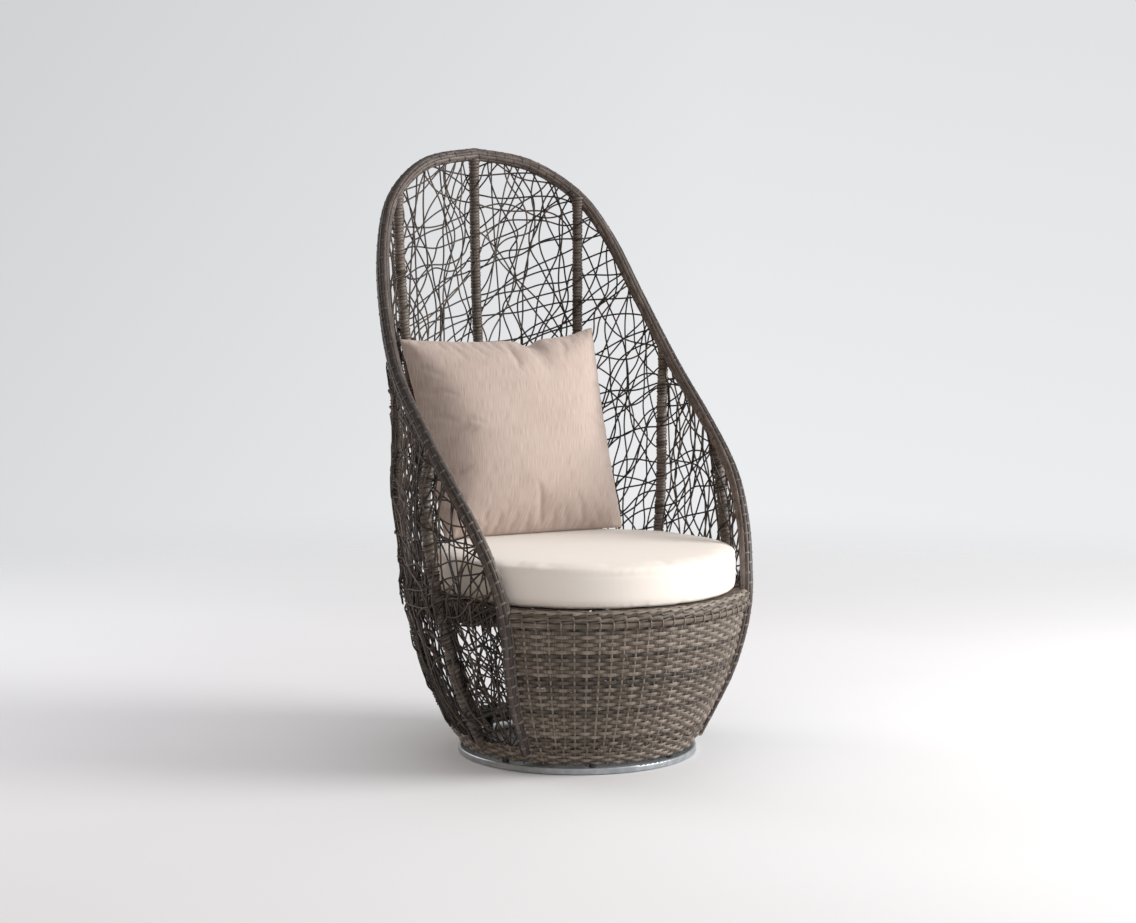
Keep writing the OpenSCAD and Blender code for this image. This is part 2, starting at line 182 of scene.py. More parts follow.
rim_right = catmull(RIM_STATIONS, np.linspace(0, len(RIM_STATIONS) - 1, 400))
rim_path = np.concatenate([rim_right * (-1, 1, 1), rim_right[-2::-1]])
rim_upper = rim_right[rim_right[:, 2] > 0.33]
rim_upper_az = np.degrees(np.arctan2(rim_upper[:, 0], -rim_upper[:, 1]))


def rim_azimuth(z):
    """Azimuth of the right half of the rim at a height."""
    return np.interp(z, rim_upper[:, 2], rim_upper_az)


def rim_height(azimuth):
    return float(np.interp(azimuth, rim_upper_az, rim_upper[:, 2]))


def rib_azimuth(bay, z):
    """The front ribs' feet are swept forward, and the others stand upright."""
    swept = 11.0 * eased((0.660 - np.asarray(z, float)) / 0.420) if bay == 1 else 0.0 * z
    return BAY_AZ[bay] - swept


def rib_path(bay, side):
    z = np.linspace(FOOT_Z, rim_height(BAY_AZ[bay]) - 0.002, 240)
    path = on_shell(rib_azimuth(bay, z), z)
    return resample(path * (side, 1, 1), RIB_STEP)


print("rim length", round(float(distance_along(rim_path)[-1]), 3), "m")

# %% [markdown]
# ## Strands
# Cane is a long strand with a small section, and there are hundreds of metres of it. A curve with a
# bevel object would do for one strand, but its section rolls as the path turns, and a flat strand has
# to lie flat on what it binds. So one function sweeps a section along a path with its flat side kept
# outwards, and another joins such strands into a mesh. Each point also carries the "cane" attribute:
# its distance along the strand, its place across the strand, and its tone, which is the strand's own
# tone and, on the rim and the wall, painted light and shade too. The materials read that, so the grain
# follows every turn.

# %% Sections of a strand
def flat_section(width, thick, bow=0.0):
    """Flat strand with eased edges. Its edges drop by the curvature 1 / bow of what it lies on."""
    outline = np.array([(0.5, 0.0), (0.46, 0.72), (0.2, 1.0), (-0.2, 1.0), (-0.46, 0.72), (-0.5, 0.0)])
    outline = outline * (width, thick)
    if bow:
        outline[:, 1] -= outline[:, 0] ** 2 / (2 * bow)
    return outline


def domed_section(width, thick, edge=0.0):
    """Fat strand, flat below and round on top. edge is how thick it is at its two edges."""
    angle = np.pi * np.arange(6) / 5
    dome = np.stack([width / 2 * np.cos(angle), thick * np.sin(angle)], axis=1)
    return np.concatenate([dome, [(-width / 2, -edge), (width / 2, -edge)]]) if edge else dome


def round_section(diameter, sides):
    angle = 2 * np.pi * np.arange(sides) / sides
    return diameter / 2 * np.stack([np.cos(angle), np.sin(angle)], axis=1)


print("a flat strand's section in mm:", (flat_section(0.0094, 0.0016) * 1000).round(2).tolist())

# %% Sweeping a strand
def directions_along(path, away, closed=False):
    """At each point, the path's own direction and the one square to it that is nearest to away."""
    step = np.roll(path, -1, axis=0) - np.roll(path, 1, axis=0) if closed else np.gradient(path, axis=0)
    tangent = unit(step)
    return tangent, unit(away - (away * tangent).sum(1, keepdims=True) * tangent)


def sweep(path, away, section, tone, closed=False, swell=None):
    """Rings of one strand. Its section's second axis points away from what the strand lies on. tone
    is one number, or a column with one for each point of the path. swell is the section's size."""
    tangent, up = directions_along(path, away, closed)
    across = np.cross(up, tangent)
    size = np.ones(len(path)) if swell is None else swell
    x = section[None, :, 0, None] * size[:, None, None]
    y = section[None, :, 1, None] * size[:, None, None]
    rings = path[:, None] + x * across[:, None] + y * up[:, None]
    mark = np.empty(rings.shape)
    mark[..., 0] = distance_along(path)[:, None]
    mark[..., 1] = section[None, :, 0]
    mark[..., 2] = tone
    return rings, mark, closed


trial = sweep(rim_path[:5], outward(rim_path[:5]), round_section(0.004, 6), 0.5)[0]
print("five rings of six points:", trial.shape)

# %% A mesh of many strands
def pick(piece):
    """Makes one object the only selected and active one, as a click does."""
    bpy.ops.object.select_all(action="DESELECT")
    piece.select_set(True)
    bpy.context.view_layer.objects.active = piece


def smooth(piece, angle):
    """Shades a piece smooth, except at edges that bend more than the angle."""
    pick(piece)
    bpy.ops.object.shade_smooth_by_angle(angle=math.radians(angle))


def strands_object(name, strands, smooth_angle=50.0):
    """One mesh object made of many swept strands, each closed at its ends."""
    verts, marks, faces = [], [], []
    base = 0
    for rings, mark, closed in strands:
        n, k = rings.shape[:2]
        verts.append(rings.reshape(-1, 3))
        marks.append(mark.reshape(-1, 3))
        row = np.arange(n if closed else n - 1)[:, None] * k
        over = (row + k) % (n * k)
        j = np.arange(k)
        beside = (j + 1) % k
        quads = base + np.stack([row + j, row + beside, over + beside, over + j], axis=-1)
        faces.extend(quads.reshape(-1, 4).tolist())
        if not closed:
            faces.append(list(range(base + k - 1, base - 1, -1)))
            faces.append(list(range(base + (n - 1) * k, base + n * k)))
        base += n * k
    mesh = bpy.data.meshes.new(name)
    mesh.from_pydata(np.concatenate(verts).tolist(), [], faces)
    mark = mesh.attributes.new("cane", "FLOAT_VECTOR", "POINT")
    mark.data.foreach_set("vector", np.concatenate(marks).astype(np.float32).ravel())
    piece = bpy.data.objects.new(name, mesh)
    bpy.context.scene.collection.objects.link(piece)
    smooth(piece, smooth_angle)
    print(name, len(strands), "strands,", sum(len(f) - 2 for f in faces), "triangles")
    return piece


print("pieces of the frame, before the first strand:", len(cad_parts))

# %% Strands that wind and wander
def around(path, away, angle, radius):
    """Points at an angle and radius round a path, and the directions away from it."""
    tangent, up = directions_along(path, away)
    side = np.cross(tangent, up)
    angle, radius = np.broadcast_arrays(angle, radius)
    direction = np.cos(angle)[..., None] * up + np.sin(angle)[..., None] * side
    return path + radius[..., None] * direction, direction


def wander(rng, count, knots, size):
    """Smooth random change along a strand, between about -size and size."""
    return catmull(rng.uniform(-size, size, knots + 2), np.linspace(0.5, knots + 0.5, count))


points, direction = around(rim_path[:3], outward(rim_path[:3]), 0.0, 0.010)
print("10 mm outwards from the rim's foot:", points[0].round(4))

# %% [markdown]
# ## Material helpers
# Every material is a small node tree. One function adds a node with its settings and its links, and one
# turns the hex colours that designers use into the linear values that the shader needs. A value that
# is the same all over a surface goes straight onto the shader's own socket.

# %% Material helpers
def linear(hex_colour):
    """sRGB hex colour as linear RGBA."""
    channels = [int(hex_colour[i:i + 2], 16) / 255 for i in (1, 3, 5)]
    return tuple(c / 12.92 if c < 0.04045 else ((c + 0.055) / 1.055) ** 2.4 for c in channels) + (1.0,)


def add(tree, kind, inputs=(), stops=(), **settings):
    """Adds a node. inputs are (socket, value or output) pairs, settings are the node's own properties,
    and stops are the (place, hex colour) pairs of a colour ramp."""
    node = tree.nodes.new("ShaderNode" + kind)
    for name, value in settings.items():
        setattr(node, name, value)
    for key, value in inputs:
        if isinstance(value, bpy.types.NodeSocket):
            tree.links.new(value, node.inputs[key])
        else:
            node.inputs[key].default_value = value
    for i, (place, colour) in enumerate(stops):
        elements = node.color_ramp.elements
        element = elements[i] if i < len(elements) else elements.new(place)
        element.position, element.color = place, linear(colour)
    return node


def new_material(name):
    """An empty material and its node tree."""
    material = bpy.data.materials.new(name)
    material.use_nodes = True
    material.node_tree.nodes.clear()
    return material, material.node_tree


print("mid grey, linear:", [round(c, 3) for c in linear("#808080")])

# %% [markdown]
# ## Cane
# The flat cane is extruded polyethylene, coloured through and rolled with a fine lengthwise grain so
# that it looks like weathered willow. It is matt, with a soft shine on the ridges. An image texture
# could give the grain, but noise that is stretched 40 to 1 along the strand's own length does it on
# any turn of any strand. The thin round strands of the web are the same plastic in a darker brown.

# %% Cane materials
PATCH_MM = 45.0


def cane_material(name, dark, middle, light, grain_mm, tone_spread):
    """Plastic cane. grain_mm is the width of one line of its grain, and tone_spread is how far the
    colour follows the strands' tone, which differs from strand to strand and holds painted light and
    shade."""
    material, tree = new_material(name)
    mark = add(tree, "Attribute", attribute_name="cane").outputs["Vector"]
    tone = add(tree, "SeparateXYZ", [(0, mark)]).outputs[2]
    lines = 1000 / grain_mm
    stretched = add(tree, "VectorMath", [(0, mark), (1, (lines / 40, lines, 17.0))], operation="MULTIPLY")
    grain = add(tree, "TexNoise", [("Vector", stretched.outputs[0]), ("Scale", 1.0), ("Detail", 3.0)])
    patches = add(tree, "TexNoise", [("Vector", mark), ("Scale", 1000 / PATCH_MM), ("Detail", 2.0)])
    shade = -tone_spread / 2
    for source, share in ((patches.outputs["Fac"], 0.5), (grain.outputs["Fac"], 0.5), (tone, tone_spread)):
        sums = add(tree, "Math", [(0, source), (1, share), (2, shade)], operation="MULTIPLY_ADD")
        shade = sums.outputs[0]
    colour = add(tree, "ValToRGB", [("Fac", shade)], [(0.24, dark), (0.5, middle), (0.78, light)])
    rough = add(tree, "MapRange", [(0, grain.outputs["Fac"]), (3, 0.42), (4, 0.62)])
    bump = add(tree, "Bump", [("Strength", 0.5), ("Distance", 0.0004), ("Height", grain.outputs["Fac"])])
    shader = add(tree, "BsdfPrincipled", [
        ("Base Color", colour.outputs[0]), ("Roughness", rough.outputs[0]),
        ("Normal", bump.outputs[0]), ("IOR", 1.5)])
    add(tree, "OutputMaterial", [("Surface", shader.outputs[0])])
    print(name, "with", len(tree.nodes), "nodes")
    return material


# Flat cane of the rim: greyed by the sun on its crowns and dark brown in its grooves
rim_cane = cane_material("polyethylene_cane_rim", "#211a16", "#4b403a", "#7c7069", 0.9, 0.8)
# Flat cane wound round the ribs: a fresher brown, as the rim shades it
rib_cane = cane_material("polyethylene_cane_ribs", "#251d17", "#534840", "#857a71", 0.9, 0.5)
# Half-round cane of the wall: its strands differ most and its rows carry painted shade, which give the
# weave depth
wall_cane = cane_material("polyethylene_cane_wall", "#1f160f", "#51453a", "#8f8377", 0.8, 0.8)
# Round cane of the web: nearly black, with a dull shine along it
web_cane = cane_material("round_polyethylene_cane", "#130d09", "#291e17", "#524439", 0.5, 0.5)

# %% [markdown]
# ## Rim
# The rim is a bent tube of 28 mm under nine lengthwise strands, which one strand binds in a long
# spiral. It goes over one strand and under the next, and nine is odd, so it changes sides at every
# turn, as in any plain weave. That is what leaves the small dark notches in two staggered rows. Only
# a true over-and-under shows those notches from every side, so the strands are woven, not drawn.
# The strands are painted paler on the lower half and darker high up, as painted light and shade.

# %% Rim
STRIPS = 9
STRIP_W, STRIP_T = 0.0094, 0.0016
BINDER_PITCH, BINDER_W, BINDER_T = 0.0235, 0.0046, 0.0011
CORE_R = 0.0134
# Distances of the strands' undersides from the tube's middle
STRIP_R, BINDER_R = 0.0138, 0.0141


def painted_light_by_height(points):
    """Painted light and shade: the tone changes with the height, paler low down and darker high up."""
    return 0.30 / (1 + np.exp((points[:, 2] - 0.62) / 0.08)) - 0.14


# The strands' and the binder's tones carry painted light: paler low down and darker high up.
rng = np.random.default_rng(7)
path = resample(rim_path, BINDER_PITCH / 4)
away = outward(path)
s = np.linspace(0.0, (len(path) - 1) * BINDER_PITCH / 4, len(path))
strands = [sweep(path[::2], away[::2], round_section(2 * CORE_R, 10), 0.2)]
strip = flat_section(STRIP_W, STRIP_T, bow=0.0080)
for i in range(STRIPS):
    wave = np.cos(np.pi * (s / BINDER_PITCH - i / STRIPS) + np.pi * i)
    lift = 0.00035 * wave**3 + wander(rng, len(path), 60, 0.00025)
    points, direction = around(path, away, 2 * np.pi * i / STRIPS, STRIP_R + lift)
    tone = 0.5 - 0.25 * math.cos(2 * math.pi * i / STRIPS) + rng.uniform(-0.28, 0.28)
    strands.append(sweep(points, direction, strip, (tone + painted_light_by_height(path))[:, None]))

turn_steps = 4 * STRIPS
fine = resample(rim_path, BINDER_PITCH / turn_steps)
turn = np.arange(len(fine)) / turn_steps
lift = -0.0009 * np.cos(np.pi * STRIPS * turn)
points, direction = around(fine, outward(fine), 2 * np.pi * turn, BINDER_R + lift)
binder = flat_section(BINDER_W, BINDER_T)
strands.append(sweep(points, direction, binder, (0.58 + painted_light_by_height(fine))[:, None]))
rim = strands_object("rim_binding", strands)
rim.data.materials.append(rim_cane)
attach(rim, "basket")
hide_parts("rim")

# %% [markdown]
# ## Ribs
# A rib is a thinner tube under a single flat strand, wound turn by turn. Each turn is a little domed,
# so the rib looks finely ringed, and no two turns lie quite alike. At its head the winding swells a
# little where it meets the rim.

# %% Ribs
# Pitch and thickness of the winding on the two front ribs and on the others
FRONT_WRAP, WRAP = (0.0118, 0.0034), (0.0078, 0.0024)
HEAD_LENGTH, HEAD_SWELL = 0.040, 0.0028


def wound(path, away, radius, pitch, rng, steps=14):
    """Path and directions of a strand wound round a tube, a little unevenly."""
    length = distance_along(path)[-1]
    turns = int(length / pitch)
    fine = resample(path, length / (turns * steps))
    t = np.arange(len(fine)) / steps
    uneven = wander(rng, len(fine), 2 * turns, 0.00045)
    share, old_share = np.linspace(0, 1, len(fine)), np.linspace(0, 1, len(path))
    size = np.interp(share, old_share, radius)
    directions = between(share, old_share, away)
    points, direction = around(fine, directions, 2 * np.pi * t, size + uneven)
    points += unit(np.gradient(fine, axis=0)) * wander(rng, len(fine), 3 * turns, 0.0011)[:, None]
    return points, direction


def make_rib(bay, side, rng):
    """A rib's core and its winding."""
    path = rib_path(bay, side)
    to_head = (len(path) - 1 - np.arange(len(path))) * RIB_STEP
    pitch, thick = FRONT_WRAP if bay == 1 else WRAP
    radius = RIB_R - 0.0008 + HEAD_SWELL * eased((HEAD_LENGTH - to_head) / HEAD_LENGTH)
    points, direction = wound(path, outward(path), radius, pitch, rng)
    core = path[::12]
    return [sweep(core, outward(core), round_section(2 * RIB_R - 0.0044, 10), 0.1),
            sweep(points, direction, domed_section(pitch * 1.02, thick), rng.uniform(0.35, 0.65))]


ribs = [("rib_back", 4, 1)]
for word, side in (("right", 1), ("left", -1)):
    ribs += [(f"rib_{word}_{bay}", bay, side) for bay in (1, 2, 3)]
for number, (node, bay, side) in enumerate(ribs):
    rib = strands_object(node + "_wound", make_rib(bay, side, np.random.default_rng(40 + number)))
    rib.data.materials.append(rib_cane)
    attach(rib, "basket")
    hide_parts(node)

# %% [markdown]
# ## Random web
# Between the ribs the weaver bends single round strands at will: long lazy curves that cross each
# other at every angle, go over one rib and under the next, and end at the rim or at a band. Straight
# rods would look like a net. So each strand here walks over the shell with a slowly changing
# curvature, and of nine such walks the one that crosses the emptiest places is kept. A place counts as
# full in the direction of the strands that are there, so that they cross. That spreads the strands as
# evenly as a good weaver does.

# %% Walks over the shell
STRAND_D = 0.0041
WALK_STEP = 0.0070


def web_walks(rng, low_z, far_z, edge, count=9, steps=340):
    """Strands as azimuths and heights. Each starts at an edge of the zone, sets off at any slant into
    it, wanders in lazy bends and stops at an edge. edge(z) is the azimuth where the opening starts."""
    side = rng.choice([-1.0, 0.0, 1.0], count, p=[0.24, 0.52, 0.24])
    foot = side == 0
    z = np.where(foot, low_z, rng.uniform(low_z, far_z, count))
    azimuth = np.where(side < 0, edge(z), 360 - edge(z))
    azimuth = np.where(foot, rng.uniform(edge(low_z), 360 - edge(low_z), count), azimuth)
    lean = np.radians(edge(z + 0.01) - edge(z - 0.01)) / 0.02 * reach(azimuth, z)
    inward = np.where(side < 0, -np.arctan(lean), np.pi + np.arctan(lean))
    inward = np.where(foot, np.pi / 2, inward)
    slant = rng.uniform(-0.42, 0.42, count) * np.pi
    lively = rng.uniform(0.15, 0.80, count)
    bend = np.stack([wander(rng, steps, int(steps * WALK_STEP / length) + 2, 1.0)
                     for length in rng.uniform(0.045, 0.130, count)], axis=1)
    heading = inward + slant + lively * (bend - bend[:1])
    walk = np.empty((steps, count, 2))
    for step in range(steps):
        walk[step, :, 0], walk[step, :, 1] = azimuth, z
        azimuth = azimuth + np.degrees(np.cos(heading[step]) * WALK_STEP / reach(azimuth, z))
        z = z + np.sin(heading[step]) * WALK_STEP
    gone = (walk[..., 1] < low_z) | (walk[..., 1] > far_z)
    gone |= (walk[..., 0] < edge(walk[..., 1])) | (walk[..., 0] > 360 - edge(walk[..., 1]))
    gone[:3] = False
    return [walk[:end + 1, k] for k, end in enumerate(gone.argmax(0)) if end]


sample = web_walks(np.random.default_rng(1), 0.345, 1.40, rim_azimuth)
print("lengths of a few walks in m:", [round(len(walk) * WALK_STEP, 2) for walk in sample])

# %% The way past the ribs
RIB_CLEAR = RIB_R + STRAND_D / 2 + 0.0006


def past_ribs(walk, signs):
    """Distance out from the shell that takes a strand round the outside or the inside of each rib."""
    out = np.zeros(len(walk))
    for number, sign in enumerate(signs):
        bay = min(number, 6 - number)
        rib = rib_azimuth(bay + 1, walk[:, 1])
        gap = walk[:, 0] - (rib if number <= 3 else 360 - rib)
        beside = np.abs(np.radians(gap)) * reach(walk[:, 0], walk[:, 1])
        out += sign * RIB_CLEAR * (1 - eased((beside - 0.010) / 0.024))
    return out


print("a strand clears the middle of a rib by", round(RIB_CLEAR * 1000, 2), "mm")

# %% Weaving a web
# Sizes of a cell in which the strands are counted, in degrees and in metres
CELL_AZ, CELL_Z = 2.0, 0.012
MEAN_R = 0.4
SEAT_BAND_Z = 0.3675


def fullness(walk):
    """How much each point of a walk fills its place for level strands, and for upright ones."""
    slope = np.arctan2(np.gradient(walk[:, 1]), np.radians(np.gradient(walk[:, 0])) * MEAN_R)
    return np.stack([1.2 * np.cos(slope) ** 2, 0.8 * np.sin(slope) ** 2], axis=1)


def weave_web(seed, low_z, far_z, edge, total):
    """Strands with a total length in metres, spread evenly over one zone of the shell."""
    rng = np.random.default_rng(seed)
    crowd = np.zeros((int(360 / CELL_AZ) + 3, int((far_z - low_z) / CELL_Z) + 4, 2))
    made, strands = 0.0, {"right": [], "left": []}
    while made < total:
        tries = [walk for walk in web_walks(rng, low_z, far_z, edge) if len(walk) * WALK_STEP > 0.06]
        cells = [((walk[:, 0] / CELL_AZ).astype(int), ((walk[:, 1] - low_z) / CELL_Z + 1).astype(int))
                 for walk in tries]
        shares = [fullness(walk) for walk in tries]
        scores = [2 * (crowd[c] * share).sum(1).mean() - 0.3 * min(len(walk) * WALK_STEP, 0.8)
                  for c, share, walk in zip(cells, shares, tries)]
        best = int(np.argmin(scores))
        walk, share, (i, j) = tries[best], shares[best], cells[best]
        for di in (-1, 0, 1):
            for dj in (-1, 0, 1):
                crowd[i + di, np.maximum(j + dj, 0)] += share * (0.5 if di or dj else 1.0)
        # 1 is outside a rib. Over the seat three in four are, and a strand that stays low always is.
        signs = rng.choice([-1.0, 1.0], 7)
        if low_z > 0.2:
            often = np.maximum(signs[1:6], rng.choice([-1.0, 1.0], 5))
            signs[1:6] = np.where(walk[:, 1].max() > 0.45, often, 1)
        out = past_ribs(walk, signs) + rng.uniform(-0.0028, 0.0028) + wander(rng, len(walk), 6, 0.0015)
        out += 0.0050 * eased((0.045 - np.abs(walk[:, 1] - SEAT_BAND_Z)) / 0.020)
        points = on_shell(walk[:, 0], walk[:, 1], out)
        made += len(walk) * WALK_STEP
        side = "right" if walk[0, 0] < 180 else "left"
        strands[side].append(sweep(points, outward(points), round_section(STRAND_D, 6), rng.uniform()))
    return strands


def lower_edge(z):
    """Below the seat the web ends beside the rim's foot."""
    return BAY_AZ[0] + 0.4 + 0.0 * z


print("the webs end at azimuth", lower_edge(0.3), "below the seat and", rim_azimuth(0.6).round(1), "above")

# %% Ends of strands wound round the ribs
COIL_PITCH, COIL_POINTS = 0.0065, 28


def rib_coils(seed, bay, side, low_z, far_z, every):
    """A few turns of web strand round a rib, here and there, where a strand was finished off."""
    rng = np.random.default_rng(seed)
    path = rib_path(bay, side)
    path = path[(path[:, 2] > low_z) & (path[:, 2] < far_z)]
    radius = RIB_R + (0.0024 if bay == 1 else 0.0012)
    coils = []
    at = rng.uniform(0.2, 0.8) * every
    while at < (len(path) - 1) * RIB_STEP - 0.03:
        turns = rng.uniform(1.1, 2.4)
        span = path[int(at / RIB_STEP):int((at + turns * COIL_PITCH) / RIB_STEP) + 2]
        fine = resample(span, 0.0004)
        t = np.linspace(0, turns, COIL_POINTS)
        line = between(np.linspace(0, len(fine) - 1, COIL_POINTS), np.arange(len(fine)), fine)
        points, direction = around(line, outward(line), 2 * np.pi * t + rng.uniform(0, 6.3), radius)
        coils.append(sweep(points, direction, round_section(STRAND_D, 6), rng.uniform()))
        at += every * rng.uniform(0.6, 1.5)
    return coils


print("coils on the right front rib:", len(rib_coils(7, 1, 1, 0.40, 1.20, 0.070)))

# %% The four webs
webs = {"random_web": weave_web(11, 0.345, 1.40, rim_azimuth, 146.0),
        "random_web_low": weave_web(12, 0.055, 0.392, lower_edge, 78.0)}
for side, sign in (("right", 1), ("left", -1)):
    for bay, every in ((1, 0.070), (2, 0.070), (3, 0.150)):
        webs["random_web"][side] += rib_coils(bay * 7, bay, sign, 0.40, 1.20, every)
        webs["random_web_low"][side] += rib_coils(bay * 9, bay, sign, 0.08, 0.34, every)
for name, sides in webs.items():
    for side, strands in sides.items():
        web = strands_object(f"{name}_{side}", strands, 80.0)
        web.data.materials.append(web_cane)
        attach(web, "basket")
        node = "web_low" if name.endswith("low") else "web"
        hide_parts(*[f"{node}_{side}_{bay}" for bay in (1, 2, 3, 4)])

# %% [markdown]
# ## Close weave
# The front wall, the skirt and the band round the seat are randed: each row of flat cane goes in front
# of one upright stake and behind the next, and the row above does the reverse. Rows and stakes are
# strands here too. Some rows are darker, as the batches of cane differ.

# %% Rows and stakes
STAKE_W, STAKE_T = 0.0050, 0.0024
CANE_T = 0.0022


def wall_normal(azimuth, z):
    """Direction out of the belly, which leans with the height."""
    slope = (shell_radius(z + 0.002) - shell_radius(z - 0.002)) / 0.004
    return unit(polar(azimuth, 1.0, -slope))


def randed(z_low, z_high, from_az, to_az, stakes, rows, radius, rng, dark_rows=()):
    """Rows of flat cane that weave in and out of a number of stakes. radius(z) is the stakes' circle."""
    closed = to_az - from_az > 359
    count = stakes * 8 + (0 if closed else 1)
    place = np.arange(count) / 8
    azimuth = from_az + (to_az - from_az) * place / stakes
    height = (z_high - z_low) / rows
    strands = []
    for row in range(rows):
        z = z_low + (row + 0.5) * height
        dark = any(abs(z - d) < height / 2 for d in dark_rows)
        swing = np.cos(np.pi * (place + row))
        out = (STAKE_T + CANE_T) / 2 * np.sign(swing) * np.abs(swing) ** 0.8 - CANE_T / 2
        out = out - (0.0006 if dark else 0.0)
        out = out + wander(rng, count, stakes // 2, 0.0004) * (0 if closed else 1)
        rise = wander(rng, count, stakes // 3, 0.0005) * (0 if closed else 1)
        away = wall_normal(azimuth, z)
        points = polar(azimuth, radius(z), z + rise) + out[:, None] * away
        tone = rng.uniform(0.26, 0.36) if dark else np.clip(rng.normal(0.52, 0.09), 0.35, 0.75)
        swell = 1.05 - 0.05 * np.maximum(swing, 0) + 0.60 * np.maximum(-swing, 0)
        row_section = domed_section(height, CANE_T, CANE_T / 2)
        # Painted shade and light: each row is darker where it passes behind a stake and paler where it
        # crosses in front
        strands.append(sweep(points, away, row_section, tone + 0.14 * swing[:, None], closed, swell))
    z = np.linspace(z_low - 0.002, z_high + 0.002, max(3, int((z_high - z_low) / 0.012)))
    stake = domed_section(STAKE_W, STAKE_T)
    for k in range(stakes + (0 if closed else 1)):
        stake_az = from_az + (to_az - from_az) * k / stakes
        away = wall_normal(stake_az, z)
        points = polar(stake_az, radius(z), z) - away * STAKE_T / 3
        strands.append(sweep(points, away, stake, rng.uniform(0.55, 0.72)))
    return strands


print("the wall's lean at its foot:", wall_normal(0.0, 0.062).round(3))

# %% The wall, the skirt and the seat's band
def weave_piece(name, strands, *nodes):
    piece = strands_object(name, strands, 60.0)
    piece.data.materials.append(wall_cane)
    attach(piece, "basket")
    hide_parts(*nodes)


WALL_AZ, STAKES = 51.6, 25
DARK_ROWS = (0.0815, 0.159, 0.2125, 0.2385, 0.288, 0.3535)
wall = randed(0.062, 0.354, -WALL_AZ, WALL_AZ, STAKES, 33, lambda z: shell_radius(z) + 0.0005,
              np.random.default_rng(21), DARK_ROWS)
weave_piece("front_wall_randing", wall, "front_weave", "front_stakes")
skirt = randed(0.022, 0.062, 0.0, 360.0, 70, 5, lambda z: shell_radius(z) + 0.0052,
               np.random.default_rng(22))
weave_piece("skirt_randing", skirt, "bottom_weave")
seat_r = float(shell_radius(0.375))
band = randed(0.346, 0.388, 56.5, 303.5, 60, 6, lambda z: seat_r - 0.0075 + 0 * z,
              np.random.default_rng(23))
weave_piece("seat_band_randing", band, "seat_ring_weave")

# %% [markdown]
# ### Border
# The wall ends in a rolled border that covers the seat ring: eight strands plaited round the ring and a
# core, and one wide strand under them, which the stakes' ends loop over.

# %% Border
BORDER_Z = 0.366
ROLL_R = 0.0150
LOOP_D = 0.0034
border_r = float(shell_radius(BORDER_Z)) + 0.001
count = STAKES * 8 + 1
place = np.arange(count) / 8
azimuth = np.linspace(-WALL_AZ, WALL_AZ, count)
path = polar(azimuth, border_r - 0.0085, BORDER_Z + 0.0062)
away = polar(azimuth, 1.0, 0.0)
rng = np.random.default_rng(31)
strands = [sweep(path[::4], away[::4], round_section(2 * ROLL_R - 0.0012, 14), 0.0)]
for k in range(8):
    lean = 0.42 * ((place / 2 + k / 2) % 1.0 - 0.5)
    lift = 0.0010 * np.cos(np.pi * (place + k)) + wander(rng, count, 40, 0.0004)
    points, direction = around(path, away, -math.radians(-30 + 29 * k) - lean, ROLL_R - 0.0012 + lift)
    strands.append(sweep(points, direction, domed_section(0.0082, 0.0026), rng.uniform(0.35, 0.75)))
away = wall_normal(azimuth, BORDER_Z)
wale_z = BORDER_Z - 0.0085
out = 0.0040 + wander(rng, count, 30, 0.0003)
points = polar(azimuth, border_r + 0.0005, wale_z) + out[:, None] * away
strands.append(sweep(points, away, flat_section(0.0105, 0.0030), 0.55))
# A loop over the wide strand, from below it to above it
loop_rise = np.array([-0.0085, -0.0065, 0.0, 0.0065, 0.0085])
loop_out = np.array([0.0015, 0.0076, 0.0084, 0.0076, 0.0035])
for k in range(STAKES + 1):
    loop_az = -WALL_AZ + 2 * WALL_AZ * k / STAKES
    normal = wall_normal(loop_az, wale_z)
    loop = polar(loop_az, border_r, wale_z + loop_rise) + loop_out[:, None] * normal
    strands.append(sweep(loop, normal, round_section(LOOP_D, 6), 0.68))
weave_piece("rolled_border", strands, "front_border")

# %% [markdown]
# ## Metal, nylon and rubber
# The floor plate is sheet steel, galvanised and lacquered grey: its shine is broad, with a faint
# mottle from the zinc. The hidden frame is black powder-coated tube, the race and its bolts are bright
# zinc-plated steel, the glides are black nylon and the pads rubber.

# %% Metal, nylon and rubber
GRAIN_MM = 1.1


def hard_material(name, low, high, mottle_mm, roughness, depth_mm, *values):
    """Hard finish: a soft mottle between two colours and a fine grain of some depth. values are further
    (socket, value) pairs of the shader."""
    material, tree = new_material(name)
    place = add(tree, "TexCoord").outputs["Object"]
    mottle = add(tree, "TexNoise", [("Vector", place), ("Scale", 1000 / mottle_mm), ("Detail", 4.0)])
    colour = add(tree, "ValToRGB", [("Fac", mottle.outputs["Fac"])], [(0.35, low), (0.65, high)])
    rough = add(tree, "MapRange", [
        (0, mottle.outputs["Fac"]), (3, roughness - 0.06), (4, roughness + 0.08)])
    grain = add(tree, "TexNoise", [("Vector", place), ("Scale", 1000 / GRAIN_MM), ("Detail", 2.0)])
    bump = add(tree, "Bump", [
        ("Strength", 0.4), ("Distance", depth_mm / 1000), ("Height", grain.outputs["Fac"])])
    shader = add(tree, "BsdfPrincipled", [
        ("Base Color", colour.outputs[0]), ("Roughness", rough.outputs[0]),
        ("Normal", bump.outputs[0]), *values])
    add(tree, "OutputMaterial", [("Surface", shader.outputs[0])])
    print(name, "with", len(tree.nodes), "nodes")
    return material


# Galvanised steel under clear lacquer: a broad soft shine with the zinc's faint mottle in it
disc_metal = hard_material("galvanised_lacquered_steel", "#979ca0", "#adb1b4", 18.0, 0.38, 0.02,
                           ("Metallic", 0.75))
# Zinc-plated steel: a brighter, bluer shine
zinc_steel = hard_material("zinc_plated_steel", "#9b9c9d", "#b9bbbd", 6.0, 0.3, 0.01,
                           ("Metallic", 1.0))
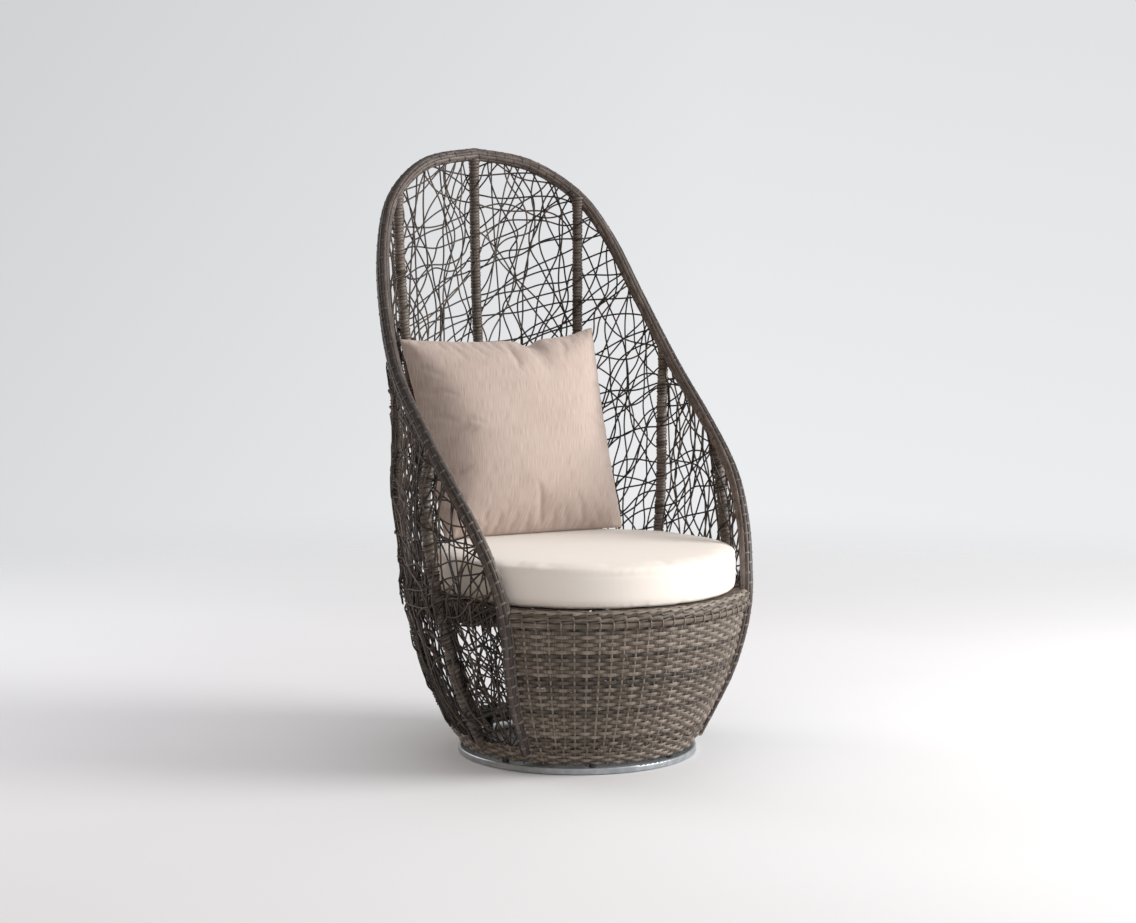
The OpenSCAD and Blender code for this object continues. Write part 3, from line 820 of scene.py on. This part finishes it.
# Powder coat: satin black with a fine orange peel
frame_black = hard_material("black_powder_coat", "#191817", "#24221f", 8.0, 0.5, 0.05)
# Moulded nylon: black, a little glossy where it glides
black_nylon = hard_material("moulded_black_nylon", "#101010", "#1c1c1c", 5.0, 0.42, 0.02, ("IOR", 1.53))
# Moulded rubber: dull black
rubber = hard_material("moulded_black_rubber", "#161616", "#222222", 4.0, 0.75, 0.05, ("IOR", 1.52))

# %% Strap webbing
# Woven polypropylene webbing: dull brown, ribbed across by its weft. The real ribs are 1.2 mm apart
# and would not show, so they are drawn every 2.4 mm.
RIB_MM = 2.4
strap_webbing, tree = new_material("woven_polypropylene_webbing")
place = add(tree, "TexCoord").outputs["Object"]
# A wave node's own pattern repeats every 2 pi / 20 of its scale
weft = add(tree, "TexWave", [
    ("Vector", place), ("Scale", 2 * math.pi / 20 / (RIB_MM / 1000)), ("Distortion", 0.6)])
colour = add(tree, "ValToRGB", [("Fac", weft.outputs["Fac"])], [(0.2, "#3b322b"), (0.8, "#6b5f55")])
bump = add(tree, "Bump", [("Strength", 0.5), ("Distance", 0.0005), ("Height", weft.outputs["Fac"])])
shader = add(tree, "BsdfPrincipled", [("Base Color", colour.outputs[0]), ("Roughness", 0.7),
                                      ("Normal", bump.outputs[0]), ("IOR", 1.49)])
add(tree, "OutputMaterial", [("Surface", shader.outputs[0])])

# %% Finishes of the pieces that keep the frame's own shape
FINISHES = {
    disc_metal: ("base_disc",),
    zinc_steel: ("race_lower_plate", "race_balls", "race_upper_plate", "race_bolts", "race_nuts",
                 "hub_bolts", "hub_nuts", "king_pin"),
    frame_black: ("spider_frame", "bottom_ring", "seat_ring", "seat_bars"),
    black_nylon: ("race_cage", "skirt_glides"),
    rubber: ("floor_pads",),
    strap_webbing: ("seat_straps",)}
for material, nodes in FINISHES.items():
    for node in nodes:
        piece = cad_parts[node]
        piece.data.materials.clear()
        piece.data.materials.append(material)
    print(material.name, "on", ", ".join(nodes))

# %% [markdown]
# ## Cloth
# Both covers are plain-woven. Two crossed waves give the threads, and noise that is stretched along the
# warp gives the slubs, the places where a thread swells. Both read the "cloth" attribute, each point's
# place on the flat panel in metres, so the weave follows the cloth over its folds.

# %% Cloth materials
def cloth_material(name, low, middle, high, thread_mm, slub, depth_mm, sheen):
    """Woven cloth. slub, from 0 to 1, is how much its threads swell and streak."""
    material, tree = new_material(name)
    place = add(tree, "Attribute", attribute_name="cloth").outputs["Vector"]
    bands = 2 * math.pi / 20 / (thread_mm / 1000)
    threads = [("Vector", place), ("Scale", bands), ("Distortion", 0.8), ("Detail", 1.0)]
    weft, warp = [add(tree, "TexWave", threads, bands_direction=direction).outputs["Fac"]
                  for direction in ("X", "Y")]
    weave = add(tree, "Math", [(0, weft), (1, warp)], operation="ADD").outputs[0]
    stretched = add(tree, "VectorMath", [(0, place), (1, (640.0, 26.0, 26.0))], operation="MULTIPLY")
    streak = add(tree, "TexNoise", [("Vector", stretched.outputs[0]), ("Scale", 1.0), ("Detail", 3.0)])
    streak = streak.outputs["Fac"]
    cloud = add(tree, "TexNoise", [("Vector", place), ("Scale", 9.0), ("Detail", 3.0)])
    shade = 0.395 - slub / 2
    for source, share in ((cloud.outputs["Fac"], 0.15), (streak, slub), (weave, 0.03)):
        sums = add(tree, "Math", [(0, source), (1, share), (2, shade)], operation="MULTIPLY_ADD")
        shade = sums.outputs[0]
    colour = add(tree, "ValToRGB", [("Fac", shade)], [(0.3, low), (0.5, middle), (0.7, high)])
    height = add(tree, "Math", [(0, streak), (1, 1.5 * slub), (2, weave)], operation="MULTIPLY_ADD")
    bump = add(tree, "Bump", [
        ("Strength", 0.35), ("Distance", depth_mm / 1000), ("Height", height.outputs[0])])
    shader = add(tree, "BsdfPrincipled", [
        ("Base Color", colour.outputs[0]), ("Roughness", 0.9), ("Normal", bump.outputs[0]),
        ("Specular IOR Level", 0.2), ("Sheen Weight", sheen), ("Sheen Roughness", 0.5)])
    add(tree, "OutputMaterial", [("Surface", shader.outputs[0])])
    print(name, "with", len(tree.nodes), "nodes")
    return material


# Cream acrylic canvas: smooth and even. Its 0.6 mm threads are drawn 2.6 mm apart, so that they show.
canvas = cloth_material("woven_acrylic_canvas", "#e2d9cf", "#e7dfd7", "#ebe4dd", 2.6, 0.15, 0.12, 0.15)
# Beige linen look: slubs that show as long upright streaks, and threads drawn 2 mm apart
linen = cloth_material("slubbed_linen", "#a38f86", "#b7a59b", "#c6b6af", 2.0, 0.7, 0.25, 0.2)

# %% Helpers for a mesh and its points
def points_of(piece):
    points = np.empty(len(piece.data.vertices) * 3)
    piece.data.vertices.foreach_get("co", points)
    return points.reshape(-1, 3)


def set_points(piece, points):
    piece.data.vertices.foreach_set("co", points.ravel())
    piece.data.update()


def edit_all(piece, operator, **settings):
    """Uses one edit-mode operator on all of a piece."""
    pick(piece)
    bpy.ops.object.mode_set(mode="EDIT")
    bpy.ops.mesh.select_all(action="SELECT")
    operator(**settings)
    bpy.ops.object.mode_set(mode="OBJECT")


print("points of the floor plate:", len(points_of(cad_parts["base_disc"])))

# %% Helpers for covers
def inflate(piece, frames, cap, bending=0.5, spare=0.0, held=""):
    """Blows a closed cover up with Blender's cloth, and keeps each point within cap of its start.
    spare is how much longer the cloth is than the shape, and held names the points that stay put."""
    start = points_of(piece)
    cloth = piece.modifiers.new("cloth", "CLOTH")
    cloth.point_cache.frame_end = frames
    settings = cloth.settings
    settings.use_pressure = True
    settings.uniform_pressure_force = 4.0
    settings.effector_weights.gravity = 0.0
    settings.tension_stiffness = settings.compression_stiffness = 15.0
    settings.bending_stiffness = bending
    settings.quality = 5
    settings.shrink_min = -spare
    settings.vertex_group_mass = held
    for frame_number in range(1, frames + 1):
        bpy.context.scene.frame_set(frame_number)
    pick(piece)
    bpy.ops.object.modifier_apply(modifier="cloth")
    bpy.context.scene.frame_set(1)
    move = points_of(piece) - start
    size = np.linalg.norm(move, axis=1, keepdims=True)
    set_points(piece, start + move * np.minimum(1.0, cap / np.maximum(size, 1e-9)))
    print(piece.name, "moved", round(float(size.mean()) * 1000, 1), "mm on average")


def set_cloth_marks(piece, panel):
    """Stores each point's place on the flat cloth."""
    mark = piece.data.attributes.new("cloth", "FLOAT_VECTOR", "POINT")
    mark.data.foreach_set("vector", panel.astype(np.float32).ravel())


def subdivide(piece):
    modifier = piece.modifiers.new("subdivision", "SUBSURF")
    modifier.levels = modifier.render_levels = 1
    pick(piece)
    bpy.ops.object.modifier_apply(modifier="subdivision")
    print(piece.name, "subdivided to", len(piece.data.vertices), "points")


# %% [markdown]
# ## Seat cushion
# A box cushion is foam in a cover of three panels: a top, a bottom and a long side strip. The foam
# swells the panels between the seams. A rounded cylinder could be moulded by hand, but real cloth under
# pressure finds the softer shape, so the cover is remeshed, inflated as cloth and then drawn in along
# its two seams.

# %% Seat cushion
cushion_low, cushion_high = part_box("seat_cushion")
cushion_mid = (cushion_low + cushion_high) / 2
cushion_r = (cushion_high.x - cushion_low.x) / 2
cushion_h = cushion_high.z - cushion_low.z
bpy.ops.mesh.primitive_cylinder_add(vertices=128, radius=cushion_r + 0.003, depth=cushion_h - 0.004,
                                    location=cushion_mid)
cushion = bpy.context.active_object
cushion.name = cushion.data.name = "seat_cushion_cover"
bpy.ops.object.transform_apply(location=True, rotation=True, scale=True)
edges = cushion.modifiers.new("edges", "BEVEL")
edges.width, edges.segments, edges.limit_method = 0.007, 3, "ANGLE"
remesh = cushion.modifiers.new("remesh", "REMESH")
remesh.mode, remesh.voxel_size = "VOXEL", 0.0065
pick(cushion)
bpy.ops.object.modifier_apply(modifier="edges")
bpy.ops.object.modifier_apply(modifier="remesh")
# The voxels leave small steps, which a few rounds of smoothing take out
edit_all(cushion, bpy.ops.mesh.vertices_smooth, factor=0.5, repeat=3)
inflate(cushion, 20, 0.006, spare=0.004)
edit_all(cushion, bpy.ops.mesh.vertices_smooth, factor=0.5, repeat=2)
print("cushion", points_of(cushion).min(0).round(4), points_of(cushion).max(0).round(4))

# %% The cushion's two seams
co = points_of(cushion)
from_axis = co[:, :2] - np.array(cushion_mid)[:2]
radius = np.linalg.norm(from_axis, axis=1)
edge_r = float(np.percentile(radius, 98))
for seam_z in (cushion_low.z + 0.012, cushion_high.z - 0.020):
    pull = np.exp(-((co[:, 2] - seam_z) / 0.0035) ** 2) * (radius > edge_r - 0.02)
    co[:, :2] -= from_axis / radius[:, None] * (pull * 0.0014)[:, None]
co[:, 2] = np.maximum(co[:, 2], cushion_low.z)
set_points(cushion, co)
subdivide(cushion)
co = points_of(cushion)
from_axis = co[:, :2] - np.array(cushion_mid)[:2]
radius = np.linalg.norm(from_axis, axis=1)
angle = np.arctan2(from_axis[:, 1], from_axis[:, 0])
side_strip = np.stack([angle * edge_r, co[:, 2], 0 * angle], axis=1)
round_panel = np.stack([co[:, 0], co[:, 1], 0 * angle], axis=1)
set_cloth_marks(cushion, np.where((radius > edge_r - 0.012)[:, None], side_strip, round_panel))
cushion.data.materials.append(canvas)
smooth(cushion, 180.0)
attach(cushion, "cushion")
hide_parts("seat_cushion")

# %% [markdown]
# ## Back pillow
# The pillow is two square panels sewn along one seam and stuffed with fibre. Cloth can't stretch, so
# a full pillow draws its sides in and leaves four pointed corners, with puckers along the seam. No
# profile gives that as well as sewing two flat panels and inflating them.

# %% Back pillow
PILLOW_SIDE, PILLOW_T = 0.510, 0.155
# Its front swells more than its back, which rests on the cane
FRONT_SWELL = 1.30
CELLS = 84
bpy.ops.mesh.primitive_grid_add(x_subdivisions=CELLS, y_subdivisions=CELLS, size=2.0)
pillow = bpy.context.active_object
pillow.name = pillow.data.name = "back_pillow_cover"
flat = points_of(pillow)
u, v = flat[:, 0], flat[:, 1]
half = PILLOW_SIDE / 2
bulge = (1 - np.abs(u) ** 2.6) * (1 - np.abs(v) ** 2.6)
front = np.stack([half * u * (1 - 0.022 * (1 - v**2) * np.abs(u) ** 3),
                  half * v * (1 - 0.018 * (1 - u**2) * (v > 0) * np.abs(v) ** 3),
                  (PILLOW_T / 2 - 0.006) * bulge**0.5], axis=1)
set_points(pillow, front)
# The cover is cut a little off its thread, so the slubs stand upright on the leaning pillow
set_cloth_marks(pillow, np.stack([half * (u - 0.16 * v), half * v, 0 * u], axis=1))
pick(pillow)
bpy.ops.object.duplicate()
back = bpy.context.active_object
set_points(back, front * (1, 1, -1))
edit_all(back, bpy.ops.mesh.flip_normals)
pillow.select_set(True)
bpy.context.view_layer.objects.active = pillow
bpy.ops.object.join()
edit_all(pillow, bpy.ops.mesh.remove_doubles, threshold=0.0002)
seam = pillow.vertex_groups.new(name="seam")
seam_points = np.flatnonzero(np.abs(points_of(pillow)[:, 2]) < 1e-5)
seam.add(seam_points.tolist(), 1.0, "REPLACE")
inflate(pillow, 24, 0.022, bending=0.15, spare=0.022, held="seam")
pillow.vertex_groups.clear()
co = points_of(pillow)
print("pillow inflated", co.min(0).round(3), co.max(0).round(3))
co[:, 2] *= PILLOW_T / (co[:, 2].max() - co[:, 2].min())
co[:, 2] *= np.where(co[:, 2] > 0, FRONT_SWELL, 1.0)

# %% The pillow's slack corners and the dent in its top
top = np.clip((co[:, 1] + half) / (2 * half), 0, 1)
dent = np.exp(-((co[:, 0] - 0.070) / 0.024) ** 2) * top**7
sag = (1 - (co[:, 0] / half) ** 2) * top**6
co[:, 1] -= 0.018 * dent + 0.009 * sag
co[:, 2] -= np.sign(co[:, 2]) * np.minimum(0.012 * dent, np.abs(co[:, 2]))
ear = np.exp(-((np.abs(co[:, 0]) - half) / 0.05) ** 2) * top**8
co[:, 1] += np.where(co[:, 0] > 0, 0.014, 0.0) * ear
set_points(pillow, co)
subdivide(pillow)

# %% The pillow leans between its four corners
FOOT_LEFT, FOOT_RIGHT = np.array([(-0.245, 0.205, 0.487), (0.238, 0.188, 0.488)])
TOP_LEFT, TOP_RIGHT = np.array([(-0.283, 0.366, 0.958), (0.252, 0.358, 0.963)])
co = points_of(pillow)
u, v = (co[:, :1] / half + 1) / 2, (co[:, 1:2] / half + 1) / 2
foot = FOOT_LEFT + (FOOT_RIGHT - FOOT_LEFT) * u
up = TOP_LEFT + (TOP_RIGHT - TOP_LEFT) * u - foot
right = (FOOT_RIGHT - FOOT_LEFT) * (1 - v) + (TOP_RIGHT - TOP_LEFT) * v
set_points(pillow, foot + up * v + unit(np.cross(right, up)) * co[:, 2:])
pillow.data.materials.append(linen)
smooth(pillow, 180.0)
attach(pillow, "pillow")
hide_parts("back_pillow")
co = points_of(pillow)

# %% [markdown]
# ## Floor and light
# The pale floor fades out a few metres away into a background of its own brightness, so no line shows
# between them. One large soft light stands low on the right, a weak one fills the shade from behind on
# the left, and the studio's even light grows weaker and warmer towards the left, which gives the round
# forms their shade.

# %% Floor
bpy.ops.mesh.primitive_circle_add(vertices=96, radius=7.0, fill_type="NGON")
floor = bpy.context.active_object
floor.name = "floor"
paint, tree = new_material("matt_floor_paint")
place = add(tree, "TexCoord").outputs["Object"]
cloud = add(tree, "TexNoise", [("Vector", place), ("Scale", 0.8), ("Detail", 2.0)])
colour = add(tree, "ValToRGB", [("Fac", cloud.outputs["Fac"])], [(0.3, "#dfdfe1"), (0.7, "#e3e3e5")])
shader = add(tree, "BsdfPrincipled", [("Base Color", colour.outputs[0]), ("Roughness", 0.8)])
far = add(tree, "VectorMath", [(0, place)], operation="LENGTH").outputs["Value"]
fade = add(tree, "MapRange", [(0, far), (1, 1.4), (2, 5.0)], interpolation_type="SMOOTHSTEP").outputs[0]
clear = add(tree, "BsdfTransparent")
faded = add(tree, "MixShader", [(0, fade), (1, shader.outputs[0]), (2, clear.outputs[0])])
add(tree, "OutputMaterial", [("Surface", faded.outputs[0])])
floor.data.materials.append(paint)
print("floor", floor.dimensions[0], "m across")

# %% Light
# The stops are the studio's walls from the far left to the far right of the camera. They are a
# little brighter near the floor.
WALLS = [(0.0, "#8a6a42"), (0.29, "#b8aa94"), (0.37, "#d6d7d9"), (0.53, "#eaebed"),
         (0.65, "#e8e9eb"), (1.0, "#f0f1f3")]
world = bpy.data.worlds.new("studio")
world.use_nodes = True
tree = world.node_tree
tree.nodes.clear()
right = (math.cos(CAMERA_AZIMUTH), -math.sin(CAMERA_AZIMUTH), 0.0)
toward = add(tree, "TexCoord").outputs["Generated"]
side = add(tree, "VectorMath", [(0, toward), (1, right)], operation="DOT_PRODUCT").outputs["Value"]
place = add(tree, "MapRange", [(0, side), (1, -1.0), (2, 1.0)])
walls = add(tree, "ValToRGB", [("Fac", place.outputs[0])], WALLS)
height = add(tree, "SeparateXYZ", [(0, toward)]).outputs[2]
strength = add(tree, "MapRange", [(0, height), (1, -0.15), (2, 0.10), (3, 1.05), (4, 0.93)])
background = add(tree, "Background", [("Color", walls.outputs[0]), ("Strength", strength.outputs[0])])
add(tree, "OutputWorld", [("Surface", background.outputs[0])])
bpy.context.scene.world = world


def area_light(name, place, target, size, power, colour):
    data = bpy.data.lights.new(name, "AREA")
    data.shape, data.size, data.energy = "DISK", size, power
    data.color = linear(colour)[:3]
    light = bpy.data.objects.new(name, data)
    light.location = place
    light.rotation_euler = (Vector(target) - Vector(place)).to_track_quat("-Z", "Y").to_euler()
    bpy.context.scene.collection.objects.link(light)
    print(name, power, "W from", place)


area_light("key", (3.6, -2.6, 2.15), (0.0, 0.0, 0.6), 2.5, 260.0, "#fffdfa")
area_light("fill", (-2.4, 3.6, 2.2), (0.0, 0.0, 0.7), 2.5, 72.0, "#f4f6ff")
bpy.context.scene.view_settings.view_transform = "Standard"
